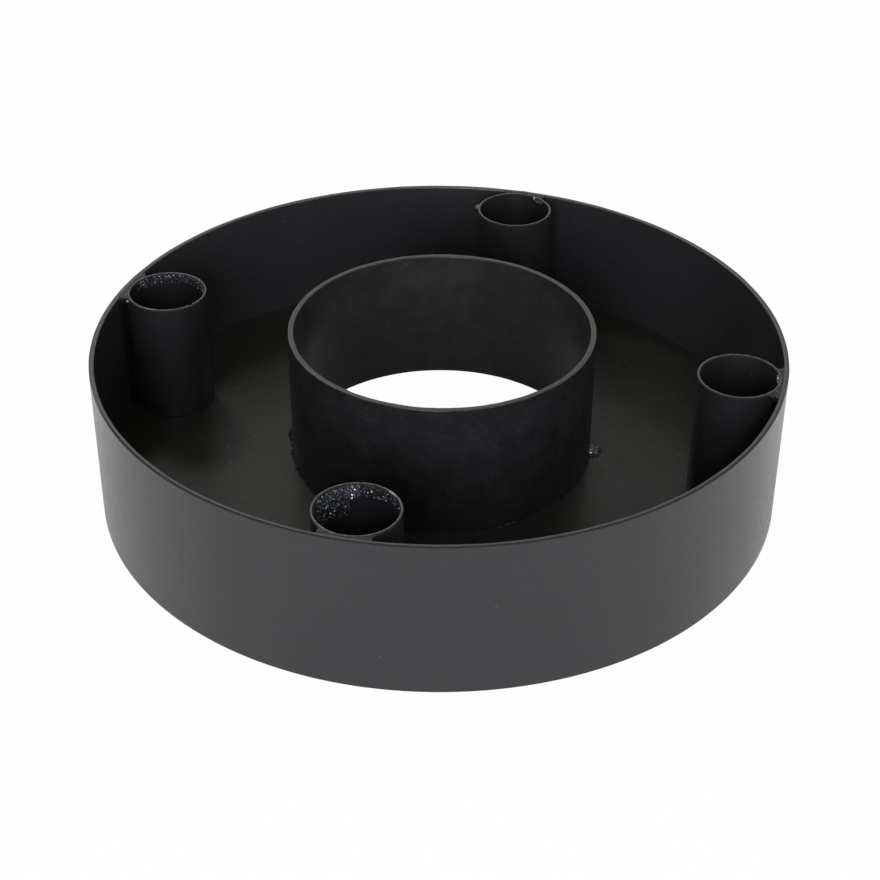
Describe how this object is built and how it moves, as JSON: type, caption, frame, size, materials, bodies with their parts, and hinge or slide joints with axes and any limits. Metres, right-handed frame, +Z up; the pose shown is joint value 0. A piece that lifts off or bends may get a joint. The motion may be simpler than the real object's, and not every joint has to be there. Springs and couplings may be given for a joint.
{
  "type": "advent candle holder",
  "caption": "Round black steel tray with a raised floor, an open centre ring and upright candle tubes welded inside its wall, for advent candles and greenery.",
  "frame": {"origin": "centre of the circle that the outer wall's lower edge stands on", "axes": "+Z up; +X to the right and +Y away from someone who has the front candle tube nearest them, a little left of the middle"},
  "size_m": [0.22, 0.22, 0.055],
  "materials": {
    "wall_coat": "fine satin black powder coat on sheet steel",
    "ring_coat": "fine satin black powder coat on sheet steel",
    "floor_coat": "fine matt black powder coat on sheet steel, slightly warm",
    "tube_coat": "black powder coat on steel tube, rough and glossy inside the bores",
    "weld_coat": "black powder coat over rough weld beads"
  },
  "bodies": {
    "root": {"outer_wall": "wall_coat", "outer_wall_seam_weld": "weld_coat", "floor_plate": "floor_coat", "inner_ring": "ring_coat", "candle_tube_front": "tube_coat", "candle_tube_right": "tube_coat", "candle_tube_back": "tube_coat", "candle_tube_left": "tube_coat", "tube_weld_front_1": "weld_coat", "tube_weld_front_2": "weld_coat", "tube_weld_right_1": "weld_coat", "tube_weld_right_2": "weld_coat", "tube_weld_back_1": "weld_coat", "tube_weld_back_2": "weld_coat", "tube_weld_left_1": "weld_coat", "tube_weld_left_2": "weld_coat", "ring_tack_weld_1": "weld_coat", "ring_tack_weld_2": "weld_coat", "ring_tack_weld_3": "weld_coat", "ring_tack_weld_4": "weld_coat", "ring_tack_weld_5": "weld_coat", "ring_tack_weld_6": "weld_coat", "floor_tack_weld_1": "weld_coat", "floor_tack_weld_2": "weld_coat", "floor_tack_weld_3": "weld_coat", "floor_tack_weld_4": "weld_coat", "floor_tack_weld_5": "weld_coat", "floor_tack_weld_6": "weld_coat", "floor_tack_weld_7": "weld_coat", "floor_tack_weld_8": "weld_coat"}
  },
  "joints": []
}
